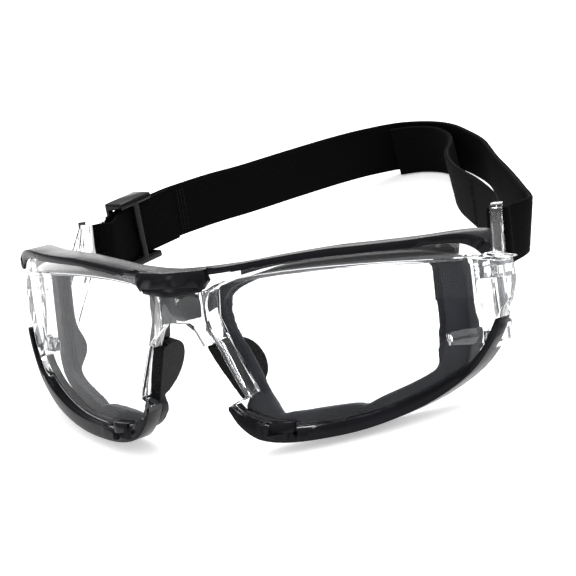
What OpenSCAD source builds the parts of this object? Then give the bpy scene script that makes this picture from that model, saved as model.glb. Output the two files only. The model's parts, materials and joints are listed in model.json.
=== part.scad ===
/* [Front] */
// Radius of the curve that each half of the front follows
wrap_r = 176.2; // [170:0.1:185]
// How far the curve's centre lies past the middle of the face
wrap_cx = 42.3; // [40:0.1:44]
// How far the curve's centre lies behind the bridge
wrap_cy = 165.4; // [160:0.1:170]
// Thickness of the lenses
lens_t = 2.2; // [1.8:0.1:2.4]
// Angle at which the front leans back when it rests on a table
lean = 16.7; // [15:0.1:18]
/* [Face gasket] */
// Depth behind the lens surface at which the gasket's wall starts
seal_front = 2.6; // [2.5:0.1:3]
// Depth at which the soft lip starts
seal_lip = 7.4; // [7:0.1:8]
// Depth at which the soft lip ends, away from the temple
seal_back = 9; // [8.6:0.1:9.4]
/* [Nose pads] */
// Thickness of a nose pad
pad_t = 3; // [2.4:0.1:3.2]
// Angle by which a pad slopes outwards towards its foot
pad_slope = 20.5; // [18:0.5:22]
// Angle by which a pad opens towards the face
pad_splay = 9; // [5:0.5:12]
/* [Side arms] */
// Distance of the hinge axis from the middle
hinge_x = 70; // [69.8:0.1:70.4]
// Distance of the hinge axis behind the bridge
hinge_y = 41.8; // [41.5:0.1:42.5]
// Radius of the hinge knuckles
knuckle_r = 2.4; // [2.2:0.1:2.5]
// Radius of the hinge screw
screw_r = 0.8; // [0.6:0.05:1]
// Distance from the hinge axis to the ring's rear bar
arm_l = 19.9; // [19.5:0.1:20.5]
// Angle by which the left arm runs in towards the head, part folded
arm_in_left = 24; // [20:0.1:26]
// Angle by which the right arm runs in towards the head, fully open
arm_in_right = 9.4; // [9:0.1:12]
/* [Strap] */
// Width of the elastic strap
strap_w = 15.3; // [15:0.1:15.5]
// Thickness of the elastic strap
strap_t = 1.4; // [1.2:0.1:1.5]
// Length of the slider along the strap
slider_l = 13; // [12:0.5:14]
// Height of the slider across the strap
slider_w = 19.6; // [19:0.2:21]

/* [Hidden] */
$fn = 48;
clear_pc = [0.85, 0.9, 0.93, 0.5];
black = [0.09, 0.09, 0.1];
seal_grey = [0.22, 0.23, 0.25];

// The front is drawn upright, then set down on its lower rims
rest_y = 6.2;
rest_z = 30;
rest_lift = 0.55;
module rest() translate([0, 0, rest_lift]) rotate([-lean, 0, 0]) translate([0, -rest_y, rest_z]) children();
module both() { children(); mirror([1, 0, 0]) children(); }

// A closed outline through the given points, rounded between them
function bend(a, b, c, d, t) = 0.5 * (2 * b + (c - a) * t + (2 * a - 5 * b + 4 * c - d) * t * t
    + (3 * b - a - 3 * c + d) * t * t * t);
function ring_line(p, n = 3) = [for (i = [0:len(p) - 1], k = [0:n - 1])
    bend(p[(i + len(p) - 1) % len(p)], p[i], p[(i + 1) % len(p)], p[(i + 2) % len(p)], k / n)];
// An open line through the given points, rounded between them
function open_line(p, n = 3) = concat([for (i = [0:len(p) - 2], k = [0:n - 1])
    bend(p[max(i - 1, 0)], p[i], p[i + 1], p[min(i + 2, len(p) - 1)], k / n)], [p[len(p) - 1]]);
function turned(p) = [for (i = [len(p) - 1:-1:0]) p[i]];

// A wall that follows the wearer's left half of the front, between two depths behind the lens surface,
// cut to the outline of its children as seen from the front
module on_front(front, back) {
    intersection() {
        translate([-wrap_cx, wrap_cy, -50]) difference() {
            cylinder(r = wrap_r - front, h = 100, $fn = 180);
            translate([0, 0, -1]) cylinder(r = wrap_r - back, h = 102, $fn = 180);
        }
        translate([0, 70, 0]) rotate([90, 0, 0]) linear_extrude(90) children();
    }
}

// Outlines in the front view, as distance from the middle and height
lens_top = [[8.9, 12], [14, 14.4], [26, 15.7], [40, 16], [56, 15.4], [68, 14.3], [75.8, 12.6]];
lens_side = [[76, 7], [75, 2], [73.3, -1.8]];
lens_foot = [[72, -5.4], [70, -9.2], [66, -13.6], [60, -17.5], [50, -21.6], [40, -23.8], [28, -24.6],
             [20, -23.1], [14.6, -20.3], [12.4, -17.7]];
lens_nose = [[16.2, -15.8], [13, -8.4], [10.7, -2.5], [9, 1.2], [8, 5], [8.1, 9.5]];
rim_foot = [[12.4, -18.9], [14.2, -22.4], [16.9, -25.4], [20.1, -27.3], [25.3, -28.2], [32, -28.1],
            [42, -26.9], [51, -24.5], [60, -20.6], [67.6, -15], [72, -8.9], [73.9, -5], [74.9, -1.7]];
rib_top = [[0, 16.4], [10, 16.5], [16, 16.9], [26, 18.1], [38, 18.8], [52, 18.9], [64, 18.8], [68.4, 18.2],
           [70.9, 16.6], [72.2, 14.9], [75.6, 13.4]];
cover_top = [[74.4, 16.6], [73.6, 18.4], [71.6, 20], [68, 21], [63, 21.1], [56, 20.8], [46, 20.7], [38, 20.6],
             [26, 19.6], [16, 18.5], [6, 17.9], [0, 17.8]];
fit_gap = 0.2;

function lowered(p, d) = [for (q = p) [q[0], q[1] - d]];

module lens_outline()
    polygon(concat(open_line(lens_top), lens_side, open_line(lens_foot), open_line(lens_nose)));

module lens() color(clear_pc) rest() on_front(0, lens_t) lens_outline();

nose_web = [[6.2, 12.2], [10.6, 12.2], [10.2, 5], [12.4, -1.2], [18.2, -15], [16, -16.6], [14.9, -14.4],
            [10.5, -2], [8, 1]];

// Clear frame: the brow rib, bridge and nose webs, and the temples with their hinge lugs
lug_t = 3;
lug_high = 8.2;
lug_low = -8.4;
lug_root = 6.8;
rib_back = 5;
module hinge_lug(z) {
    translate([hinge_x, hinge_y, z]) cylinder(r = knuckle_r, h = lug_t);
    translate([hinge_x - knuckle_r, hinge_y - lug_root, z]) cube([2 * knuckle_r, lug_root, lug_t]);
}
module front_frame() color(clear_pc) rest() difference() {
    both() {
        on_front(-0.6, rib_back) polygon(concat(open_line(rib_top), [[76.2, 12.9]],
            turned(lowered(open_line(lens_top), -fit_gap)), [[7.4, 12.2], [0, 12.2]]));
        on_front(lens_t + 0.2, rib_back) polygon([[8.6, 13], [26, 14.6], [40, 15], [66, 13.6], [66, 17],
            [26, 17], [8.6, 14]]);
        on_front(-0.6, 2.4) polygon([[0, 12.4], [7.4, 12.4], [7.9, 9.4], [7.8, 5], [8.8, 1.2], [9.9, -1.4],
            [7.4, -1.8], [5.6, 2], [3.4, 4.2], [0, 4.6]]);
        on_front(lens_t + 0.2, 3.8) polygon(nose_web);
        on_front(lens_t + 0.2, 4.4) polygon([[68.4, 16.4], [73, 14], [75.4, 13.3], [75.8, 7], [74.8, 2],
            [73, -2], [71.6, -5.4], [70.1, -8.4], [62, -7.8], [61.6, -4.6], [68.6, -4]]);
        hinge_lug(lug_high);
        hinge_lug(lug_low);
    }
    both() translate([hinge_x, hinge_y, -20]) cylinder(r = screw_r + 0.05, h = 40);
}

// Brow cover: a soft black strip over the rib, hooked down at each end, with a block over the bridge
cover_end = [74.6, 31.5];
cover_end_turn = 27;
cover_back = 6.8;
skirt_foot = [[16, 15.5], [26, 17.1], [42, 17.7], [56, 17.2], [63.4, 15.4]];
module brow_cover() color(black) rest() both() {
    difference() {
        on_front(-1.4, cover_back) polygon(concat(lowered(open_line([for (i = [0:9]) rib_top[i]]), -0.15),
            [[73.4, 15.4]], open_line(cover_top)));
        translate([cover_end[0], cover_end[1], 0]) rotate([0, 0, cover_end_turn]) translate([0, -20, 0])
            cube([20, 50, 40]);
    }
    on_front(rib_back + 0.15, cover_back) polygon(concat(turned(open_line(skirt_foot)),
        [for (i = [2:6]) lowered(rib_top, -0.6)[i]]));
    on_front(-2.6, -0.75) polygon([[0, 13.9], [8.4, 13.6], [9.4, 12.9], [11.2, 15.2], [10.4, 18], [0, 17.8]]);
    on_front(-2.2, -0.75) polygon([[0, 11.5], [8.6, 12.3], [9.4, 14], [0, 14]]);
    on_front(-2.6, 0) polygon([[0, 17], [10.6, 17.2], [10.4, 18], [0, 17.8]]);
}

rim_back = 4.9;
rest_of_foot = [for (i = [2:8]) lens_foot[i]];

// Lower rim: a black channel round the lens's foot, with a catch over its front edge
module lower_rim() color(black) rest() {
    difference() {
        on_front(-1.1, rim_back) polygon(concat(turned(open_line(rim_foot)),
            turned(lowered(open_line(concat([[73.5, -1.7]], lens_foot)), fit_gap))));
        on_front(lens_t, 12) polygon([[60, -10.1], [80, -9.7], [80, 5], [60, 5]]);
    }
    on_front(lens_t + 0.2, 4.6) polygon(concat(turned(lowered(open_line(rest_of_foot), 1)),
        lowered(open_line(rest_of_foot), -1)));
    on_front(-1.5, -0.1) polygon([[22.2, -25.4], [22.2, -23], [28, -22.9], [28, -25.4]]);
}

// Face gasket: a soft eye cup behind each lens, with a wavy lip, joined behind the bridge
cup_outer = [[9.4, 12.4], [16, 14.9], [26, 16.7], [42, 17.3], [56, 16.8], [63.4, 14.8], [65, 10],
             [65.2, 0], [65.1, -7], [64.6, -11.6], [62.6, -15.4], [56.4, -19.8], [48, -23.6], [40, -25.4],
             [30, -26.2], [21, -25.6], [16.4, -24], [13.4, -20.6], [13.2, -18.6], [14, -16.4], [11.6, -8],
             [9.8, -2.4], [8.9, 2.8], [8.6, 7]];
cup_inner = [[10.8, 10.6], [15, 13], [24, 15.2], [42, 15.7], [55, 15.1], [59.6, 13.4], [60.2, 6], [60.2, -5],
             [59, -11.6], [56.2, -14.6], [50, -17.6], [44, -20], [41.3, -21.2], [38, -20.6], [29, -21.2],
             [24, -21.4], [21.4, -21.4], [19.2, -16], [17.2, -10], [14.6, -3.6], [12.2, 0.4], [10.8, 4],
             [10.2, 8]];
lip_inner = [[11.4, 9.8], [15.4, 12.4], [24, 14.7], [42, 15.2], [54, 14.6], [57.2, 12.6], [57.5, 6],
             [57.7, -2], [57.2, -8], [56.6, -13.6], [54, -15.8], [51, -17.1], [44, -19.8], [41, -21.4],
             [38.4, -20.8], [30, -21.2], [25.4, -21.8], [21.6, -22.6], [20.2, -20], [17.6, -14.6],
             [15.6, -10.2], [13.2, -3], [11.6, 1], [10.9, 4], [10.8, 7]];
// The lip is deepest at the temple, below the middle of the eye
lobe = [[6, 10], [8.6, 6], [9.6, -1], [11.6, -5], [12.4, -7.6], [11.6, -10], [9, -13.4], [8, -16], [6, -17]];
lobe_back = 13;
module cheek_lobe() intersection() {
    on_front(seal_back - 0.4, lobe_back) difference() {
        polygon(ring_line(cup_outer));
        polygon(ring_line(lip_inner));
    }
    translate([63, 24.1, 0]) rotate([0, 0, 36.7]) rotate([90, 0, 90])
        translate([0, 0, -14]) linear_extrude(26) polygon(ring_line(lobe));
}
module face_gasket() color(seal_grey) rest() difference() {
    both() {
        on_front(seal_front + 2.6, seal_lip) difference() {
            polygon(ring_line(cup_outer));
            polygon(ring_line(cup_inner));
        }
        on_front(seal_lip - 0.01, seal_back) difference() {
            polygon(ring_line(cup_outer));
            polygon(ring_line(lip_inner));
        }
        cheek_lobe();
        on_front(seal_front + 2.6, seal_back - 1.6)
            polygon([[0, 4.8], [4, 5.2], [9.6, 8], [12, 11.4], [0, 11.6]]);
    }
    both() pad_blank(0.4);
}

// Nose pad: a soft blade, deeper towards the face, along each nose web
pad_face = [[0, 0], [3, 1.2], [9, 0.8], [14, -1.8], [16.2, -6], [15, -10.4], [10.6, -13.6], [5.6, -14.8],
            [4.3, -14.4]];
module pad_blank(grow)
    translate([6.9, -1.5, -3.2]) rotate([0, -pad_slope, 0]) rotate([0, 0, -pad_splay])
        translate([-grow, 0, 0]) rotate([90, 0, 90])
            linear_extrude(pad_t + 2 * grow) polygon(ring_line(pad_face, 4));
module nose_pad() color(black) rest() difference() {
    pad_blank(0);
    on_front(-1, 4) polygon([[5, 1], [6.6, -2.2], [10.2, -2], [10.9, -2], [17.7, -15.6], [13.3, -17.1],
        [11.8, -18.6], [40, -30], [40, 1]]);
    for (s = [-1, 1]) on_front(lens_t, 4) translate([s * fit_gap, s * fit_gap / 4]) polygon(nose_web);
}

// Side arm: hinge knuckle, ribbed web, and the ring that the strap runs through
ring_low = 7;
ring_high = 24.7;
ring_start = 12.2;
web_end = ring_start + 1;
slot_start = 14.8;
bar_r = 1.5;
ring_end_t = 1.1;
module at_hinge(turn) translate([hinge_x, hinge_y, 0]) rotate([0, 0, 90 + turn]) children();
module arm_web(t, outline)
    translate([0, t / 2, 0]) rotate([90, 0, 0]) linear_extrude(t) polygon(outline);
module side_arm(turn) color(clear_pc) rest() difference() {
    at_hinge(turn) {
        translate([0, 0, lug_low + lug_t + fit_gap])
            cylinder(r = knuckle_r, h = lug_high - lug_low - lug_t - 2 * fit_gap);
        arm_web(1.8, [[0, -5], [6, -3.6], [web_end, 8], [web_end, 24], [8, 16.4], [3.6, 7.8], [0, 7.8]]);
        arm_web(3, [[0, -5], [6, -3.6], [web_end, 8], [web_end, 10.2], [5, -1.4], [0, -3]]);
        arm_web(3, [[3.6, 7.8], [8, 16.4], [web_end, 24.4], [web_end, 21.8], [9.6, 15.2], [5.2, 7.8]]);
        translate([ring_start, -bar_r, ring_low])
            cube([slot_start - ring_start, 2 * bar_r, ring_high - ring_low]);
        for (z = [ring_low, ring_high - ring_end_t])
            translate([ring_start, -bar_r, z]) cube([arm_l - ring_start, 2 * bar_r, ring_end_t]);
        translate([arm_l, 0, ring_low]) cylinder(r = bar_r, h = ring_high - ring_low);
    }
    translate([hinge_x, hinge_y, -20]) cylinder(r = screw_r + 0.05, h = 40);
}

// Hinge screw: shank through both lugs and the knuckle, with a low head on top
screw_head_r = 1.7;
module hinge_screw() color([0.2, 0.2, 0.22]) rest() translate([hinge_x, hinge_y, 0]) {
    translate([0, 0, lug_low]) cylinder(r = screw_r, h = lug_high + lug_t - lug_low + 0.2);
    translate([0, 0, lug_high + lug_t + 0.05]) cylinder(r = screw_head_r, h = 1.1);
}

// Strap loop: the elastic's turn round the ring's rear bar
strap_mid = (ring_low + ring_high) / 2;
loop_in = bar_r + 0.35;
loop_leg = 4.4;
module strap_loop(turn) color(black) rest()
    at_hinge(turn) translate([arm_l, 0, strap_mid - strap_w / 2]) difference() {
        union() {
            cylinder(r = loop_in + strap_t, h = strap_w);
            translate([0, -loop_in - strap_t, 0]) cube([loop_leg, 2 * (loop_in + strap_t), strap_w]);
        }
        translate([0, 0, -1]) cylinder(r = loop_in, h = strap_w + 2);
        translate([0, -loop_in, -1]) cube([loop_leg + 1, 2 * loop_in, strap_w + 2]);
    }

// Strap routes on the table: place of the top edge, and how far the band slopes back and out as it rises
grip_route = [[-66.6, 73.4, 36.6, 0.1, 0], [-62.4, 97.2, 33.5, 0.1, 0]];
main_route = [[-62.25, 98, 33.4, 0.1, 0], [-60.3, 106, 32.1, 0.07, 0], [-57.8, 114, 30.6, 0.04, 0],
    [-54.1, 125, 28.2, 0, 0], [-49.8, 143, 24.5, 0, 0], [-44.8, 162.8, 20.3, 0, 0], [-40, 175.6, 17.4, 0, 0],
    [-31.7, 183, 15.9, 0, 0], [-21, 183.6, 15.45, 0, 0], [-12, 180.2, 15.5, 0, 0], [-2.6, 172.4, 16.2, 0, 0],
    [8.8, 160.2, 18, 0.05, 0], [22.2, 141.6, 20.6, 0.1, 0.05], [33.5, 126.1, 23.6, 0.1, 0.1],
    [45.2, 109.6, 27, 0.15, 0.15], [55.6, 94.6, 30, 0.2, 0.2], [61.6, 86, 31.6, 0.25, 0.2],
    [64.8, 79, 33.4, 0.3, 0.15], [64.6, 73.4, 34.9, 0.3, 0.1]];
return_route = [[58.2, 72.2, 35.2, 0.3, 0.1], [53.6, 81.6, 33.4, 0.25, 0.1], [46.2, 91.3, 32, 0.2, 0.1],
    [36.5, 102.8, 30, 0.15, 0.05], [26.2, 114.4, 27.5, 0.1, 0], [16.8, 126, 25, 0.05, 0],
    [8.4, 138.2, 22.3, 0, 0], [1.9, 149.9, 19.8, 0, 0], [-3.4, 162, 17.4, 0, 0], [-9, 171.6, 15.9, 0, 0],
    [-17, 178.2, 15.5, 0, 0], [-26, 180.2, 15.45, 0, 0], [-33, 178.6, 15.5, 0, 0]];
doubled_t = 2 * strap_t + 0.1;
function unit(v) = v / norm(v);
function across(p, i) = let (a = p[max(i - 1, 0)], b = p[min(i + 1, len(p) - 1)])
    unit([a[1] - b[1], b[0] - a[0], 0]);
function rise(q) = unit([q[4], q[3], 1]);
function edge(q) = [q[0], q[1], q[2]];
module band(route, t = strap_t) {
    p = open_line(route);
    last = len(p) - 1;
    polyhedron(
        points = [for (i = [0:last])
            let (n = across(p, i) * t / 2, top = edge(p[i]), low = top - strap_w * rise(p[i]))
            each [top + n, top - n, low - n, low + n]],
        faces = concat([[0, 1, 2], [0, 2, 3]],
            [for (i = [0:last - 1], k = [0:3]) let (a = 4 * i + k, b = 4 * i + (k + 1) % 4)
                each [[a, a + 4, b + 4], [a, b + 4, b]]],
            [let (e = 4 * last) each [[e, e + 2, e + 1], [e, e + 3, e + 2]]]));
}
module strap_grip() color(black) band(grip_route, doubled_t);
module strap_main() color(black) band(main_route);
module strap_return() color(black) band(return_route);

// A frame on a band: one axis out of the chosen face, one along the band and one up it
module on_band(route, i, share, face) {
    p = open_line(route);
    along = unit(edge(p[i + 1]) - edge(p[i]));
    out = face * unit(cross(along, rise(p[i])));
    up = cross(out, along);
    at = edge(p[i]) * (1 - share) + edge(p[i + 1]) * share - strap_w / 2 * rise(p[i]);
    multmatrix([for (k = [0:2]) [out[k], along[k], up[k], at[k]]]) children();
}

// Slider: a buckle round the doubled end of the strap, with end bars outside and a middle bar inside
slider_y = 7.8;
rail = 2;
slider_bar_t = 1.5;
strap_play = 0.4;
bar_in = doubled_t / 2 + strap_play;
module strap_slider() color([0.05, 0.05, 0.055])
    on_band(grip_route, 0, 0, -1) translate([0, slider_y, 0]) {
        for (s = [-1, 1]) {
            translate([-bar_in - slider_bar_t, -slider_l / 2, s * (slider_w - rail) / 2 - rail / 2])
                cube([2 * (bar_in + slider_bar_t), slider_l, rail]);
            translate([bar_in, s * (slider_l - rail) / 2 - rail / 2, -slider_w / 2])
                cube([slider_bar_t, rail, slider_w]);
        }
        translate([-bar_in - slider_bar_t, -rail / 2, -slider_w / 2])
            cube([slider_bar_t, rail, slider_w]);
    }

// Bar tacks: rows of thread that close the doubled strap
tack_h = 12;
thread = 0.45;
module tack(route, i, face) color([0.13, 0.13, 0.14]) on_band(route, i, 0.5, face)
    for (row = [-1, 0, 1]) translate([strap_t / 2 + 0.06, row * 1.1 - thread / 2, -tack_h / 2])
        cube([thread, thread, tack_h]);
module bar_tack_left() tack(return_route, 9, -1);
module bar_tack_right() tack(main_route, 1, 1);

front_frame();
lens();  // lens_left
mirror([1, 0, 0]) lens();  // lens_right
brow_cover();
lower_rim();  // lower_rim_left
mirror([1, 0, 0]) lower_rim();  // lower_rim_right
face_gasket();
nose_pad();  // nose_pad_left
mirror([1, 0, 0]) nose_pad();  // nose_pad_right
side_arm(arm_in_left);  // side_arm_left
mirror([1, 0, 0]) side_arm(arm_in_right);  // side_arm_right
hinge_screw();  // hinge_screw_left
mirror([1, 0, 0]) hinge_screw();  // hinge_screw_right
strap_loop(arm_in_left);  // strap_loop_left
mirror([1, 0, 0]) strap_loop(arm_in_right);  // strap_loop_right
strap_grip();  // strap_grip_right
strap_main();
strap_return();
strap_slider();
bar_tack_left();
bar_tack_right();
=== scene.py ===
import json
import math
import bpy
from mathutils import Matrix, Quaternion, Vector


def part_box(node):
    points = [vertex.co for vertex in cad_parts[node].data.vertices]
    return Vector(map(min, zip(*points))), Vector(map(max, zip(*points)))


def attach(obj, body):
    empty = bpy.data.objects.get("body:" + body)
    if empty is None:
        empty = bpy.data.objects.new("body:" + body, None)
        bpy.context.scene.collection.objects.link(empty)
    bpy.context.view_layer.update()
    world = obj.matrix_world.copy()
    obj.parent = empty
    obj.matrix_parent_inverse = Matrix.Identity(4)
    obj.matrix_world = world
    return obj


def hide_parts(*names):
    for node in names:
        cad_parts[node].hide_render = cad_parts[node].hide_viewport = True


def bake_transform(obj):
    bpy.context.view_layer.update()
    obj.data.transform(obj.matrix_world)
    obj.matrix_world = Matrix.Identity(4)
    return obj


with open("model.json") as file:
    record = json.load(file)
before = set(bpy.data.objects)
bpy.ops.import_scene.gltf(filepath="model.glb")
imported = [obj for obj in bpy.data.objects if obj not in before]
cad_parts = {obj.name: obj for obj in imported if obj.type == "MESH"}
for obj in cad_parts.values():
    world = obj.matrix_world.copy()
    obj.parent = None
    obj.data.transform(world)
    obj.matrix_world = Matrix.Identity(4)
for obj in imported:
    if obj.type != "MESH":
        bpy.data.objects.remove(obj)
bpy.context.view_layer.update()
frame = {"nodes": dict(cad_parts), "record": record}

# Camera: a long lens from the wearer's left front, a little above the brow, tipped so that the
# front stands upright in view although the goggles lean back on the table.
aim = Vector((0.0223, 0.0204, 0.0360))
azimuth, elevation, tip = math.radians(34.29), math.radians(21.03), math.radians(-15.35)
toward_camera = Vector((math.sin(azimuth) * math.cos(elevation),
                        -math.cos(azimuth) * math.cos(elevation), math.sin(elevation)))
distance = 0.811
bpy.ops.object.camera_add(location=aim + toward_camera * distance)
camera = bpy.context.object
camera.name = "camera"
camera.data.lens = 195.8
camera.data.sensor_width = 36
camera.data.clip_start = 0.05
camera.rotation_mode = "QUATERNION"
camera.rotation_quaternion = (-toward_camera).to_track_quat("-Z", "Y") @ Quaternion((0, 0, 1), tip)
bpy.context.scene.camera = camera

# Table and light: a lit white table top under a broad white ceiling that fades to grey near the
# horizon, with soft boxes behind and to the sides, which draw the sheen on the black parts.
bpy.ops.object.select_all(action="DESELECT")
bpy.ops.mesh.primitive_plane_add(size=8, location=(0, 0, -0.0002))
table_top = bpy.context.object
table_top.name = "table_top"
table_paint = bpy.data.materials.new("white_table")
table_paint.use_nodes = True
table_shader = table_paint.node_tree.nodes["Principled BSDF"]
table_shader.inputs["Base Color"].default_value = (0.86, 0.86, 0.86, 1)
table_shader.inputs["Emission Color"].default_value = (1, 1, 1, 1)
table_shader.inputs["Emission Strength"].default_value = 0.4
table_shader.inputs["Roughness"].default_value = 0.9
table_shader.inputs["Specular IOR Level"].default_value = 0.1
table_top.data.materials.append(table_paint)

sky = bpy.data.worlds.new("studio")
bpy.context.scene.world = sky
sky.use_nodes = True
sky_place = sky.node_tree.nodes.new("ShaderNodeTexCoord")
sky_parts = sky.node_tree.nodes.new("ShaderNodeSeparateXYZ")
sky_fade = sky.node_tree.nodes.new("ShaderNodeValToRGB")
sky_light = sky.node_tree.nodes["Background"]
sky.node_tree.links.new(sky_place.outputs["Generated"], sky_parts.inputs[0])
sky.node_tree.links.new(sky_parts.outputs[2], sky_fade.inputs["Fac"])
sky.node_tree.links.new(sky_fade.outputs["Color"], sky_light.inputs["Color"])
for fade_stop, (fade_at, fade_to) in zip(sky_fade.color_ramp.elements, ((0.10, 0.22), (0.7, 1.0))):
    fade_stop.position, fade_stop.color = fade_at, (fade_to, fade_to, fade_to, 1)
sky_light.inputs["Strength"].default_value = 1.45
bpy.context.scene.view_settings.view_transform = "Standard"

object_middle = Vector((0, 0.03, 0.03))
for lamp_name, lamp_place, lamp_size, lamp_watts in (
        ("softbox_back", (-0.25, 0.75, 0.9), 0.5, 8),
        ("softbox_left", (0.95, 0.1, 0.45), 0.3, 3),
        ("softbox_front", (-0.5, -0.9, 0.5), 0.3, 2)):
    bpy.ops.object.light_add(type="AREA", location=lamp_place)
    lamp = bpy.context.object
    lamp.name = lamp_name
    lamp.data.size = lamp_size
    lamp.data.energy = lamp_watts
    lamp.rotation_mode = "QUATERNION"
    lamp.rotation_quaternion = (object_middle - Vector(lamp_place)).to_track_quat("-Z", "Y")


# Clear frame: the brow rib, nose bridge and temples, injection moulded in one shot from
# polycarbonate and polished, with two lugs at each side that the hinge screws pass through.
def only(piece):
    """Selects one piece alone and makes it the active one."""
    bpy.ops.object.select_all(action="DESELECT")
    piece.select_set(True)
    bpy.context.view_layer.objects.active = piece


def copy_of(node, name):
    """A merged copy of a CAD node that stands for it, and rides on the same body."""
    piece = bpy.data.objects.new(name, frame["nodes"][node].data.copy())
    bpy.context.scene.collection.objects.link(piece)
    only(piece)
    bpy.ops.object.mode_set(mode="EDIT")
    bpy.ops.mesh.select_all(action="SELECT")
    bpy.ops.mesh.remove_doubles(threshold=0.00001)
    bpy.ops.mesh.dissolve_limited(angle_limit=math.radians(0.4))
    bpy.ops.object.mode_set(mode="OBJECT")
    piece.data.materials.clear()
    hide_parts(node)
    for body, nodes in frame["record"]["behaviour"]["bodies"].items():
        if node in nodes:
            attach(piece, body)
    return piece


def round_edges(piece, width, segments=3):
    """Rounds the sharp edges and smooths what is left."""
    only(piece)
    edge = piece.modifiers.new("rounded_edges", "BEVEL")
    edge.width = width
    edge.segments = segments
    edge.limit_method = "ANGLE"
    edge.angle_limit = math.radians(32)
    bpy.ops.object.modifier_apply(modifier=edge.name)
    bpy.ops.object.shade_smooth_by_angle(angle=math.radians(42))


class Shade:
    """A value in a material's node tree: sums on it add Math nodes, and node() adds any other."""

    def __init__(self, tree, socket=None):
        self.tree, self.socket = tree, socket

    def node(self, kind, settings=None, inputs=None, output=0):
        made = self.tree.nodes.new(kind)
        for key, value in (settings or {}).items():
            if key == "stops":
                while len(made.color_ramp.elements) < len(value):
                    made.color_ramp.elements.new(0.5)
                for stop, (place, color) in zip(made.color_ramp.elements, value):
                    stop.position, stop.color = place, color
            else:
                setattr(made, key, value)
        for key, value in (inputs or {}).items():
            if isinstance(value, Shade):
                self.tree.links.new(value.socket, made.inputs[key])
            else:
                made.inputs[key].default_value = value
        return Shade(self.tree, made.outputs[output])

    def sum(self, operation, first, second=0.0):
        return self.node("ShaderNodeMath", {"operation": operation}, {0: first, 1: second})

    def __add__(self, other): return self.sum("ADD", self, other)
    def __radd__(self, other): return self.sum("ADD", other, self)
    def __sub__(self, other): return self.sum("SUBTRACT", self, other)
    def __rsub__(self, other): return self.sum("SUBTRACT", other, self)
    def __mul__(self, other): return self.sum("MULTIPLY", self, other)
    def __rmul__(self, other): return self.sum("MULTIPLY", other, self)
    def __pow__(self, other): return self.sum("POWER", self, other)


def new_finish(name, color, roughness, **fixed):
    """A material, its shader with the constant sockets set, and the start of its node tree."""
    finish = bpy.data.materials.new(name)
    finish.use_nodes = True
    shader = finish.node_tree.nodes["Principled BSDF"]
    shader.inputs["Base Color"].default_value = (*color, 1)
    shader.inputs["Roughness"].default_value = roughness
    for key, value in fixed.items():
        shader.inputs[key.replace("_", " ")].default_value = value
    return finish, shader, Shade(finish.node_tree)


def feed(tree, value, socket):
    tree.tree.links.new(value.socket, socket)


def emboss(tree, shader, strength, distance, height):
    """Raises the height as bump on the shader, over a distance in metres."""
    raised = tree.node("ShaderNodeBump", inputs={
        "Strength": strength, "Distance": distance, "Height": height})
    feed(tree, raised, shader.inputs["Normal"])


def noise_on(tree, scale, detail, stretch=(1, 1, 1)):
    """Noise at a scale in waves to the metre, read in the piece's own place."""
    place = tree.node("ShaderNodeTexCoord", output=3)
    turned = tree.node("ShaderNodeMapping", inputs={"Vector": place, "Scale": stretch})
    return tree.node("ShaderNodeTexNoise", inputs={
        "Vector": turned, "Scale": scale, "Detail": detail, "Roughness": 0.5})


clear_plastic, clear_shader, clear_tree = new_finish(
    "polished_polycarbonate", (0.98, 0.985, 0.99), 0.03, Transmission_Weight=1.0, IOR=1.58)
feed(clear_tree, 0.015 + noise_on(clear_tree, 400, 4) ** 3 * 0.12, clear_shader.inputs["Roughness"])
emboss(clear_tree, clear_shader, 0.12, 0.0004, noise_on(clear_tree, 90, 1))

clear_frame = copy_of("front_frame", "clear_frame")
round_edges(clear_frame, 0.00035)
clear_frame.data.materials.append(clear_plastic)


# Lenses: two curved polycarbonate windows 2.2 mm thick, hard coated, with ground and polished
# edges that catch a bright line. They clip in under the rib and into the lower rims.
mounts = {mount["name"]: mount for mount in frame["record"]["mounts"]}
front_up = Vector(mounts["left_strap_ring"]["axis"])
front_deep = Vector((0, front_up.z, -front_up.y))
lens_coat, coat_shader, coat_tree = new_finish("coated_lens_face", (1, 1, 1), 0.02)
coat_glare = coat_tree.node("ShaderNodeLayerWeight", inputs={"Blend": 0.5}, output=1)
coat_through = coat_tree.node("ShaderNodeBsdfTransparent", inputs={
    "Color": (0.985, 0.99, 0.995, 1)})
coat_mirror = coat_tree.node("ShaderNodeBsdfGlossy", inputs={
    "Roughness": 0.01 + noise_on(coat_tree, 300, 5) ** 4 * 0.2})
coat_mixed = coat_tree.node("ShaderNodeMixShader", inputs={
    0: 0.012 + coat_glare ** 4 * 0.22, 1: coat_through, 2: coat_mirror})
feed(coat_tree, coat_mixed, coat_tree.tree.nodes["Material Output"].inputs["Surface"])
coat_tree.tree.nodes.remove(coat_shader)
lens_plastic, lens_shader, lens_tree = new_finish(
    "polished_lens_edge", (0.98, 0.985, 0.99), 0.0, Transmission_Weight=1.0, IOR=1.5)
feed(lens_tree, 0.02 + noise_on(lens_tree, 300, 5) ** 4 * 0.08, lens_shader.inputs["Roughness"])
curve_middle = Vector((0.0423, 0.1654))
rest_back, rest_lift = 0.0062, 0.00055
for side in ("left", "right"):
    lens = copy_of("lens_" + side, "clear_lens_" + side)
    round_edges(lens, 0.0005)
    lens.data.materials.append(lens_coat)
    lens.data.materials.append(lens_plastic)
    for face in lens.data.polygons:
        deep = face.center.dot(front_deep) + rest_back - rest_lift * front_deep.z
        radial = Vector((abs(face.center.x) + curve_middle.x, deep - curve_middle.y)).normalized()
        level = Vector((math.copysign(face.normal.x, face.normal.x * face.center.x),
                        face.normal.dot(front_deep)))
        face.material_index = 0 if abs(level.dot(radial)) > 0.9 else 1


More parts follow.
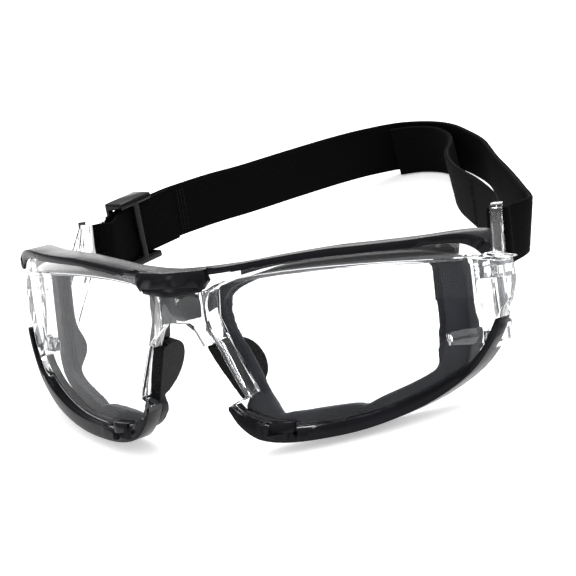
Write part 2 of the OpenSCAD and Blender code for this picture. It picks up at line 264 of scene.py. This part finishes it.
# Brow cover: a satin black moulded strip pressed over the rib from above, with a raised lip
# along its front, a thicker block over the bridge and a hooked end at each temple.
def raise_front(piece, border, height):
    """Insets the faces that look forwards and lifts them, which leaves a stepped border."""
    only(piece)
    bpy.ops.object.mode_set(mode="EDIT")
    bpy.ops.mesh.select_all(action="DESELECT")
    bpy.ops.object.mode_set(mode="OBJECT")
    for face in piece.data.polygons:
        level = Vector(face.normal) - front_up * face.normal.dot(front_up)
        face.select = (abs(face.normal.dot(front_up)) < 0.05 and level.dot(front_deep) < -0.25
                       and level.x * face.center.x > -0.02 and face.area > 1e-6)
    bpy.ops.object.mode_set(mode="EDIT")
    bpy.ops.mesh.inset(thickness=border, depth=height)
    bpy.ops.object.mode_set(mode="OBJECT")


def tint(tree, shader, share, *stops):
    """Colours the shader from one tone to another as the share goes past the two stops."""
    toned = tree.node("ShaderNodeValToRGB", {
        "stops": [(at, (*tone, 1)) for at, tone in stops]}, {"Fac": share})
    feed(tree, toned, shader.inputs["Base Color"])


satin_black, satin_shader, satin_tree = new_finish(
    "satin_black_plastic", (0.003, 0.003, 0.004), 0.22, Specular_IOR_Level=0.09)
satin_patches = noise_on(satin_tree, 70, 2)
tint(satin_tree, satin_shader, satin_patches,
     (0.3, (0.003, 0.003, 0.004)), (0.7, (0.006, 0.006, 0.008)))
feed(satin_tree, 0.16 + satin_patches * 0.10 + noise_on(satin_tree, 2600, 2) * 0.04,
     satin_shader.inputs["Roughness"])
emboss(satin_tree, satin_shader, 0.25, 0.00006, noise_on(satin_tree, 3400, 2))

brow_strip = copy_of("brow_cover", "brow_strip")
raise_front(brow_strip, 0.0007, 0.0003)
round_edges(brow_strip, 0.0007)
brow_strip.data.materials.append(satin_black)


# Lower rims: black moulded channels that hold the foot of each lens, with a small catch that
# snaps over the lens's front and a thin lip inside.
for side in ("left", "right"):
    rim = copy_of("lower_rim_" + side, "foot_channel_" + side)
    raise_front(rim, 0.0006, 0.00025)
    round_edges(rim, 0.0006)
    rim.data.materials.append(satin_black)


# Face gasket: one soft grey elastomer moulding that lines both eyes, with a wavy lip towards
# the face. Its edges are round all over, so a copy is rebuilt fine and relaxed.
def soften(piece, cell, turns):
    """Rebuilds a copy in small cells and relaxes it, as for a soft moulding."""
    only(piece)
    cells = piece.modifiers.new("cells", "REMESH")
    cells.mode = "VOXEL"
    cells.voxel_size = cell
    bpy.ops.object.modifier_apply(modifier=cells.name)
    relaxed = piece.modifiers.new("relaxed", "SMOOTH")
    relaxed.factor = 0.5
    relaxed.iterations = turns
    bpy.ops.object.modifier_apply(modifier=relaxed.name)
    bpy.ops.object.shade_smooth()


seal_rubber, seal_shader, seal_tree = new_finish(
    "grey_elastomer", (0.016, 0.017, 0.02), 0.4, Specular_IOR_Level=0.1)
seal_patches = noise_on(seal_tree, 120, 3)
tint(seal_tree, seal_shader, seal_patches,
     (0.3, (0.012, 0.013, 0.016)), (0.7, (0.021, 0.022, 0.027)))
feed(seal_tree, 0.36 + seal_patches * 0.16, seal_shader.inputs["Roughness"])
emboss(seal_tree, seal_shader, 0.2, 0.0001, noise_on(seal_tree, 1900, 3))

eye_seal = copy_of("face_gasket", "eye_seal")
soften(eye_seal, 0.00045, 6)
eye_seal.data.materials.append(seal_rubber)


# Nose pads: soft black rubber blades with a fine moulded grain, which rest on the sides of the
# nose. Each has a socket that is pushed over the clear web beside the bridge.
pad_rubber, pad_shader, pad_tree = new_finish(
    "grained_rubber", (0.003, 0.003, 0.003), 0.65, Specular_IOR_Level=0.05)
pad_grain = noise_on(pad_tree, 1500, 2)
tint(pad_tree, pad_shader, pad_grain, (0.35, (0.001, 0.001, 0.001)), (0.7, (0.007, 0.007, 0.008)))
feed(pad_tree, 0.48 + pad_grain * 0.25, pad_shader.inputs["Roughness"])
emboss(pad_tree, pad_shader, 0.8, 0.0002, pad_grain)
for side in ("left", "right"):
    pad = copy_of("nose_pad_" + side, "rubber_pad_" + side)
    soften(pad, 0.0002, 5)
    pad.data.materials.append(pad_rubber)


# Side arms: clear ribbed webs moulded with a hinge knuckle at one end and the strap's ring at
# the other, in the frame's own polycarbonate.
for side in ("left", "right"):
    arm = copy_of("side_arm_" + side, "clear_arm_" + side)
    round_edges(arm, 0.0003)
    arm.data.materials.append(clear_plastic)


# Hinge screws: dark steel, turned, with a low head on top. The plain shank passes through the
# frame's two lugs and the arm's knuckle between them, and the arm folds on it.
screw_steel, screw_shader, screw_tree = new_finish(
    "dark_steel", (0.16, 0.16, 0.17), 0.35, Metallic=1.0)
turning_marks = noise_on(screw_tree, 500, 2, stretch=(1, 1, 9))
feed(screw_tree, 0.25 + turning_marks * 0.3, screw_shader.inputs["Roughness"])
emboss(screw_tree, screw_shader, 0.3, 0.00005, turning_marks)
for side in ("left", "right"):
    screw = copy_of("hinge_screw_" + side, "steel_screw_" + side)
    round_edges(screw, 0.00025)
    screw.data.materials.append(screw_steel)


# Head strap: one length of black woven elastic 15 mm wide. Its tail lies doubled through the
# slider, turns round the right ring's bar, runs round the back of the head, turns round the
# left ring's bar and comes back inside to a sewn end. It is cut into two pieces at the back.
strap_width, strap_thick = 0.0153, 0.0014
grip_start, grip_end = Vector((-66.6, 73.4, 36.6)), Vector((-62.4, 97.2, 33.5))
layer_gap = 0.76
turn_radius, turn_steps = 2.55, 8
right_arm_in, left_arm_in = math.radians(9.4), math.radians(24)
main_stations = [(-60.3, 106, 32.1, 0.07, 0), (-57.8, 114, 30.6, 0.04, 0), (-54.1, 125, 28.2, 0, 0),
                 (-49.8, 143, 24.5, 0, 0), (-44.8, 162.8, 20.3, 0, 0), (-40, 175.6, 17.4, 0, 0),
                 (-31.7, 183, 15.9, 0, 0), (-21, 183.6, 15.45, 0, 0), (-12, 180.2, 15.5, 0, 0),
                 (-2.6, 172.4, 16.2, 0, 0), (8.8, 160.2, 18, 0.05, 0),
                 (22.2, 141.6, 20.6, 0.1, 0.05), (33.5, 126.1, 23.6, 0.1, 0.1),
                 (45.2, 109.6, 27, 0.15, 0.15), (55.6, 94.6, 30, 0.2, 0.2),
                 (61.6, 86, 31.6, 0.25, 0.2), (64.8, 79, 33.4, 0.3, 0.15)]
return_stations = [(58.2, 72.6, 35.2, 0.3, 0.1), (53.6, 81.6, 33.4, 0.25, 0.1),
                   (46.2, 91.3, 32, 0.2, 0.1), (36.5, 102.8, 30, 0.15, 0.05),
                   (26.2, 114.4, 27.5, 0.1, 0), (16.8, 126, 25, 0.05, 0),
                   (8.4, 138.2, 22.3, 0, 0), (1.9, 149.9, 19.8, 0, 0), (-3.4, 162, 17.4, 0, 0),
                   (-9, 171.6, 15.9, 0, 0), (-17, 178.2, 15.5, 0, 0), (-26, 180.2, 15.45, 0, 0),
                   (-33, 178.6, 15.5, 0, 0)]


def ring_turn(mount_name, turn_in, outwards, legs):
    """Stations of the elastic's turn round a ring's bar, from its outer leg to its inner one."""
    bar = Vector(mounts[mount_name]["pos_m"]) * 1000
    top = bar + front_up * strap_width * 500
    inwards = -outwards * math.sin(turn_in)
    along = Vector((inwards, 0, 0)) + front_deep * math.cos(turn_in)
    side_way = Vector((outwards * math.cos(turn_in), 0, 0)) + front_deep * math.sin(turn_in)
    points = [top + side_way * turn_radius + along * legs[0]]
    for step in range(turn_steps + 1):
        turn = math.pi * step / turn_steps
        points.append(top + side_way * turn_radius * math.cos(turn)
                      - along * turn_radius * math.sin(turn))
    points.append(top - side_way * turn_radius + along * legs[1])
    return [(p.x, p.y, p.z, 0.3, 0) for p in points]


def grip_layer(shares, out):
    """Stations of one layer of the doubled tail, to the outside or the inside of its middle."""
    way = (grip_end - grip_start).normalized()
    side_way = Vector((-way.y, way.x, 0)).normalized() * layer_gap * out
    return [(*(grip_start.lerp(grip_end, share) + side_way), 0.1, 0) for share in shares]


stations = (grip_layer((1, 0.6, 0.22), -1)
            + ring_turn("right_strap_ring", right_arm_in, -1, (2, 2))[::-1]
            + grip_layer((0.22, 0.6, 0.98), 1) + main_stations
            + ring_turn("left_strap_ring", left_arm_in, 1, (1.5, 2)) + return_stations)


def spline(points, count=6):
    """A smooth line through stations of any number of values."""
    line = []
    for i in range(len(points) - 1):
        a, b = points[max(i - 1, 0)], points[i]
        c, d = points[i + 1], points[min(i + 2, len(points) - 1)]
        for k in range(count):
            t = k / count
            line.append([0.5 * (2 * q + (r - p) * t + (2 * p - 5 * q + 4 * r - s) * t * t
                                + (3 * q - p - 3 * r + s) * t ** 3)
                         for p, q, r, s in zip(a, b, c, d)])
    return line + [list(points[-1])]


strap_line = spline(stations)
strap_top = [Vector(q[:3]) / 1000 for q in strap_line]
strap_rise = [Vector((q[4], q[3], 1)).normalized() for q in strap_line]
strap_length = [0.0]
for a, b in zip(strap_top, strap_top[1:]):
    strap_length.append(strap_length[-1] + (b - a).length)

edge_round = strap_thick * 0.42
half_profile = [(edge_round * (1 - math.cos(math.radians(turn))),
                 strap_thick / 2 - edge_round + edge_round * math.sin(math.radians(turn)))
                for turn in (0, 30, 60, 90)]
selvedge_width, selvedge_drop, rib_drop = 0.0012, 0.00008, 0.00002
half_profile += [(selvedge_width, strap_thick / 2 - selvedge_drop)] + [
    (strap_width * share, strap_thick / 2 - rib_drop * (k % 2))
    for k, share in enumerate((0.12, 0.24, 0.37, 0.5, 0.63, 0.76, 0.88))] + [
    (strap_width - selvedge_width, strap_thick / 2 - selvedge_drop)]
half_profile += [(strap_width - down, high) for down, high in half_profile[3::-1]]
profile = half_profile + [(down, -high) for down, high in half_profile[::-1]]
back_map = 0.03


def strap_piece(name, first, last):
    """The band between two places on the line, with its ends closed and its own map in metres."""
    count = len(profile)
    points, faces, spots = [], [], []
    for i in range(first, last + 1):
        way = (strap_top[min(i + 1, len(strap_top) - 1)] - strap_top[max(i - 1, 0)]).normalized()
        out = way.cross(strap_rise[i]).normalized()
        for down, high in profile:
            points.append(strap_top[i] - strap_rise[i] * down + out * high)
            spots.append((strap_length[i], down + (back_map if high < 0 else 0)))
    for i in range(last - first):
        for k in range(count):
            a, b = i * count + k, i * count + (k + 1) % count
            faces.append((a, b, b + count, a + count))
    end = (last - first) * count
    faces.append(tuple(range(count))[::-1])
    faces.append(tuple(range(end, end + count)))
    mesh = bpy.data.meshes.new(name)
    mesh.from_pydata([tuple(p) for p in points], [], faces)
    layer = mesh.uv_layers.new(name="weave")
    for face in mesh.polygons:
        for loop in face.loop_indices:
            layer.data[loop].uv = spots[mesh.loops[loop].vertex_index]
    piece = bpy.data.objects.new(name, mesh)
    bpy.context.scene.collection.objects.link(piece)
    only(piece)
    bpy.ops.object.mode_set(mode="EDIT")
    bpy.ops.mesh.select_all(action="SELECT")
    bpy.ops.mesh.normals_make_consistent(inside=False)
    bpy.ops.object.mode_set(mode="OBJECT")
    bpy.ops.object.shade_smooth_by_angle(angle=math.radians(50))
    return piece


elastic, elastic_shader, elastic_tree = new_finish(
    "woven_elastic", (0.002, 0.002, 0.002), 0.95, Specular_IOR_Level=0.02,
    Sheen_Weight=0.004, Sheen_Roughness=0.5)
weave = elastic_tree.node("ShaderNodeUVMap", {"uv_map": "weave"})
along_band = elastic_tree.node("ShaderNodeSeparateXYZ", inputs={0: weave})
across_band = Shade(elastic_tree.tree, along_band.socket.node.outputs[1])
rib_gap, pick_gap = 0.00075, 0.0011
ribs = elastic_tree.sum("SINE", across_band * (2 * math.pi / rib_gap)) * 0.5 + 0.5
picks = elastic_tree.sum("SINE", along_band * (2 * math.pi / pick_gap) + ribs * 3.0) * 0.5 + 0.5
from_edge = elastic_tree.sum("PINGPONG", across_band, back_map) * 1000
selvedge = elastic_tree.sum("LESS_THAN", from_edge, 1.0)
fibres = noise_on(elastic_tree, 2500, 3)
tint(elastic_tree, elastic_shader, ribs * 0.4 + picks * 0.3 + fibres * 0.3,
     (0.2, (0.0008, 0.0008, 0.0009)), (0.8, (0.003, 0.003, 0.0032)))
feed(elastic_tree, 0.95 - selvedge * 0.2 - fibres * 0.1, elastic_shader.inputs["Roughness"])
emboss(elastic_tree, elastic_shader, 0.5, 0.0002, ribs * 0.6 + picks * 0.3 + fibres * 0.2)

head_back = Vector((-0.021, 0.1836, 0.01545))
split = min(range(len(strap_top)), key=lambda i: (strap_top[i] - head_back).length)
strap_right = strap_piece("elastic_right", 0, split)
strap_left = strap_piece("elastic_left", split, len(strap_top) - 1)
for strap in (strap_right, strap_left):
    strap.data.materials.append(elastic)
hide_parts("strap_loop_right", "strap_grip_right", "strap_main")
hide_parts("strap_loop_left", "strap_return")
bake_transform(strap_right)
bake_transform(strap_left)


# Slider: a glossy black moulded buckle round the doubled tail, with an end bar at each end
# outside and one bar inside, which sets the strap's length.
slider_black, slider_shader, slider_tree = new_finish(
    "glossy_black_plastic", (0.003, 0.003, 0.004), 0.12, Specular_IOR_Level=0.14)
slider_marks = noise_on(slider_tree, 160, 4)
tint(slider_tree, slider_shader, slider_marks,
     (0.3, (0.002, 0.002, 0.003)), (0.7, (0.005, 0.005, 0.006)))
feed(slider_tree, 0.06 + slider_marks ** 2 * 0.3, slider_shader.inputs["Roughness"])
slider = copy_of("strap_slider", "length_slider")
round_edges(slider, 0.0006, 4)
slider.data.materials.append(slider_black)


# Bar tacks: black thread sewn through both layers of the elastic where an end lies doubled,
# in three rows side by side, every row a close zigzag.
thread_black, thread_shader, thread_tree = new_finish(
    "black_thread", (0.003, 0.003, 0.003), 0.8, Specular_IOR_Level=0.05)
twist = noise_on(thread_tree, 3000, 2)
tint(thread_tree, thread_shader, twist, (0.3, (0.002, 0.002, 0.002)), (0.7, (0.006, 0.006, 0.006)))
feed(thread_tree, 0.6 + twist * 0.2, thread_shader.inputs["Roughness"])
stitch_rows, stitch_count, stitch_lean = 0.0011, 12, 28
stitch_gap, stitch_lift = 0.00105, 0.00006
stitch_radius, stitch_shape = 0.0005, (0.34, 0.5, 1.35, 1)
for side in ("left", "right"):
    low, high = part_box("bar_tack_" + side)
    middle = (low + high) / 2
    near = min(range(2, len(strap_top) - 2), key=lambda i: (
        strap_top[i] - strap_rise[i] * strap_width / 2 - middle).length)
    way = (strap_top[near + 1] - strap_top[near - 1]).normalized()
    out = way.cross(strap_rise[near]).normalized()
    face = strap_top[near] - strap_rise[near] * strap_width / 2
    out = out if (middle - face).dot(out) > 0 else -out
    rise = out.cross(way).normalized()
    stitches = []
    for row in (-1, 0, 1):
        for k in range(stitch_count):
            bpy.ops.object.select_all(action="DESELECT")
            bpy.ops.mesh.primitive_uv_sphere_add(segments=8, ring_count=5, radius=stitch_radius)
            stitch = bpy.context.object
            stitch.data.transform(Matrix.Diagonal(stitch_shape))
            lean = math.radians(stitch_lean if k % 2 else -stitch_lean)
            stitch.data.transform(Matrix.Rotation(lean, 4, "X"))
            place = (face + out * (strap_thick / 2 + stitch_lift) + way * row * stitch_rows
                     + rise * (k - (stitch_count - 1) / 2) * stitch_gap)
            turn = Matrix((out, way, rise)).transposed().to_4x4()
            stitch.data.transform(Matrix.Translation(place) @ turn)
            stitches.append(stitch)
    bpy.ops.object.select_all(action="DESELECT")
    for stitch in stitches:
        stitch.select_set(True)
    bpy.context.view_layer.objects.active = stitches[0]
    bpy.ops.object.join()
    tack = bpy.context.object
    tack.name = "thread_tack_" + side
    bpy.ops.object.shade_smooth()
    tack.data.materials.append(thread_black)
    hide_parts("bar_tack_" + side)
    if side == "left":
        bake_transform(tack)
    else:
        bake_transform(tack)
